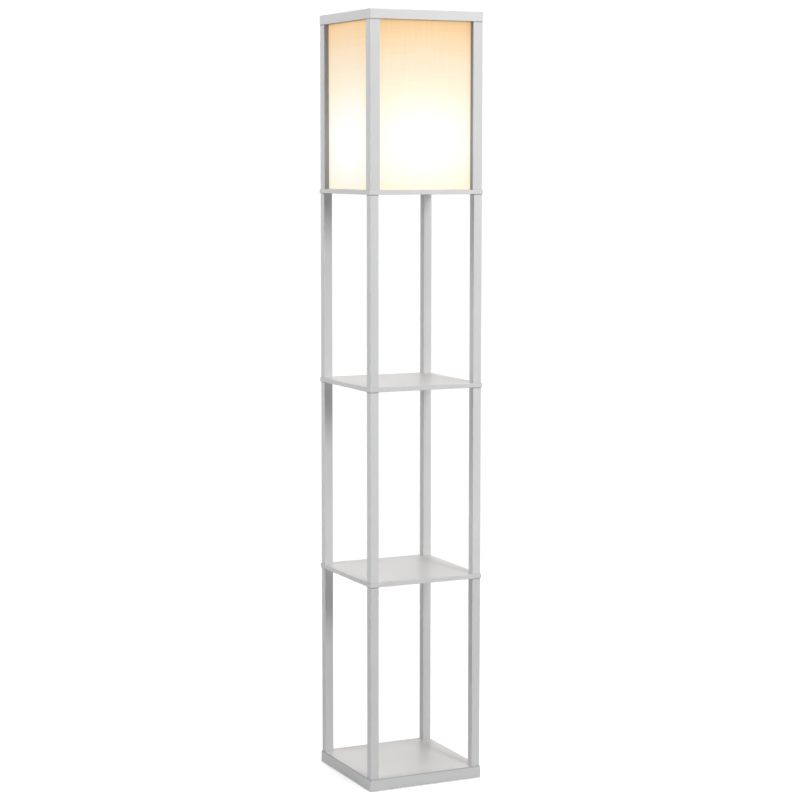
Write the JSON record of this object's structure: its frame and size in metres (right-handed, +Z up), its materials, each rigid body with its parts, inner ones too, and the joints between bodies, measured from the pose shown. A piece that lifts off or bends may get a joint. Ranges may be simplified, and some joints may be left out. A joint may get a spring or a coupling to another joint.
{
  "type": "shelf floor lamp",
  "caption": "Square shelf floor lamp: corner posts carry open shelves and a lit fabric shade box, with a bulb in a turn-switch lampholder on the deck.",
  "frame": {"origin": "centre of the footprint, on the floor", "axes": "+Z up; -Y is the front, the side that the switch knob faces; +X to the right seen from the front"},
  "size_m": [0.256, 0.256, 1.6],
  "materials": {
    "white_laminate": "satin foil on board",
    "shade_fabric": "plain weave on a stiff backing",
    "zinc_steel": "zinc plated",
    "brass": "bright",
    "holder_plastic": "moulded, white",
    "dark_moulding": "moulded, black",
    "pale_rubber": "matt",
    "beech": "raw",
    "opal_glass": "opal"
  },
  "bodies": {
    "lamp": {"base_bolts": "zinc_steel", "base_rail_back": "white_laminate", "base_rail_front": "white_laminate", "base_rail_left": "white_laminate", "base_rail_right": "white_laminate", "base_top_panel": "white_laminate", "base_washers": "zinc_steel", "bush_nut": "zinc_steel", "centre_contact": "brass", "cord_grommet": "pale_rubber", "deck_studs": "zinc_steel", "foot_pads": "pale_rubber", "holder_foot": "holder_plastic", "holder_screws": "zinc_steel", "holder_shell": "holder_plastic", "lamp_deck": "white_laminate", "lower_post_back_left": "white_laminate", "lower_post_back_right": "white_laminate", "lower_post_front_left": "white_laminate", "lower_post_front_right": "white_laminate", "lower_post_inserts": "zinc_steel", "lower_shelf": "white_laminate", "lower_shelf_studs": "zinc_steel", "middle_post_back_left": "white_laminate", "middle_post_back_right": "white_laminate", "middle_post_front_left": "white_laminate", "middle_post_front_right": "white_laminate", "middle_post_inserts": "zinc_steel", "middle_shelf": "white_laminate", "middle_shelf_studs": "zinc_steel", "screw_shell": "brass", "shade_panel_back": "shade_fabric", "shade_panel_front": "shade_fabric", "shade_panel_left": "shade_fabric", "shade_panel_right": "shade_fabric", "shade_post_back_left": "white_laminate", "shade_post_back_right": "white_laminate", "shade_post_front_left": "white_laminate", "shade_post_front_right": "white_laminate", "shade_post_inserts": "zinc_steel", "switch_base": "dark_moulding", "switch_bush": "zinc_steel", "terminal_plate": "dark_moulding", "top_dowels": "beech", "top_rail_back": "white_laminate", "top_rail_front": "white_laminate", "top_rail_left": "white_laminate", "top_rail_right": "white_laminate", "upper_post_back_left": "white_laminate", "upper_post_back_right": "white_laminate", "upper_post_front_left": "white_laminate", "upper_post_front_right": "white_laminate", "upper_post_inserts": "zinc_steel"},
    "switch": {"switch_shaft": "zinc_steel", "switch_knob": "holder_plastic"},
    "bulb": {"bulb_globe": "opal_glass", "bulb_cap": "zinc_steel", "bulb_insulator": "dark_moulding", "bulb_contact": "brass"}
  },
  "joints": [
    {"name": "switch_turn", "type": "hinge", "parent": "lamp", "child": "switch", "pos_m": [0, -0.042, 1.248], "axis": [0, 1, 0], "continuous": true},
    {"name": "bulb_lift", "type": "slide", "parent": "lamp", "child": "bulb", "axis": [0, 0, 1], "range_m": [0, 0.03]}
  ]
}
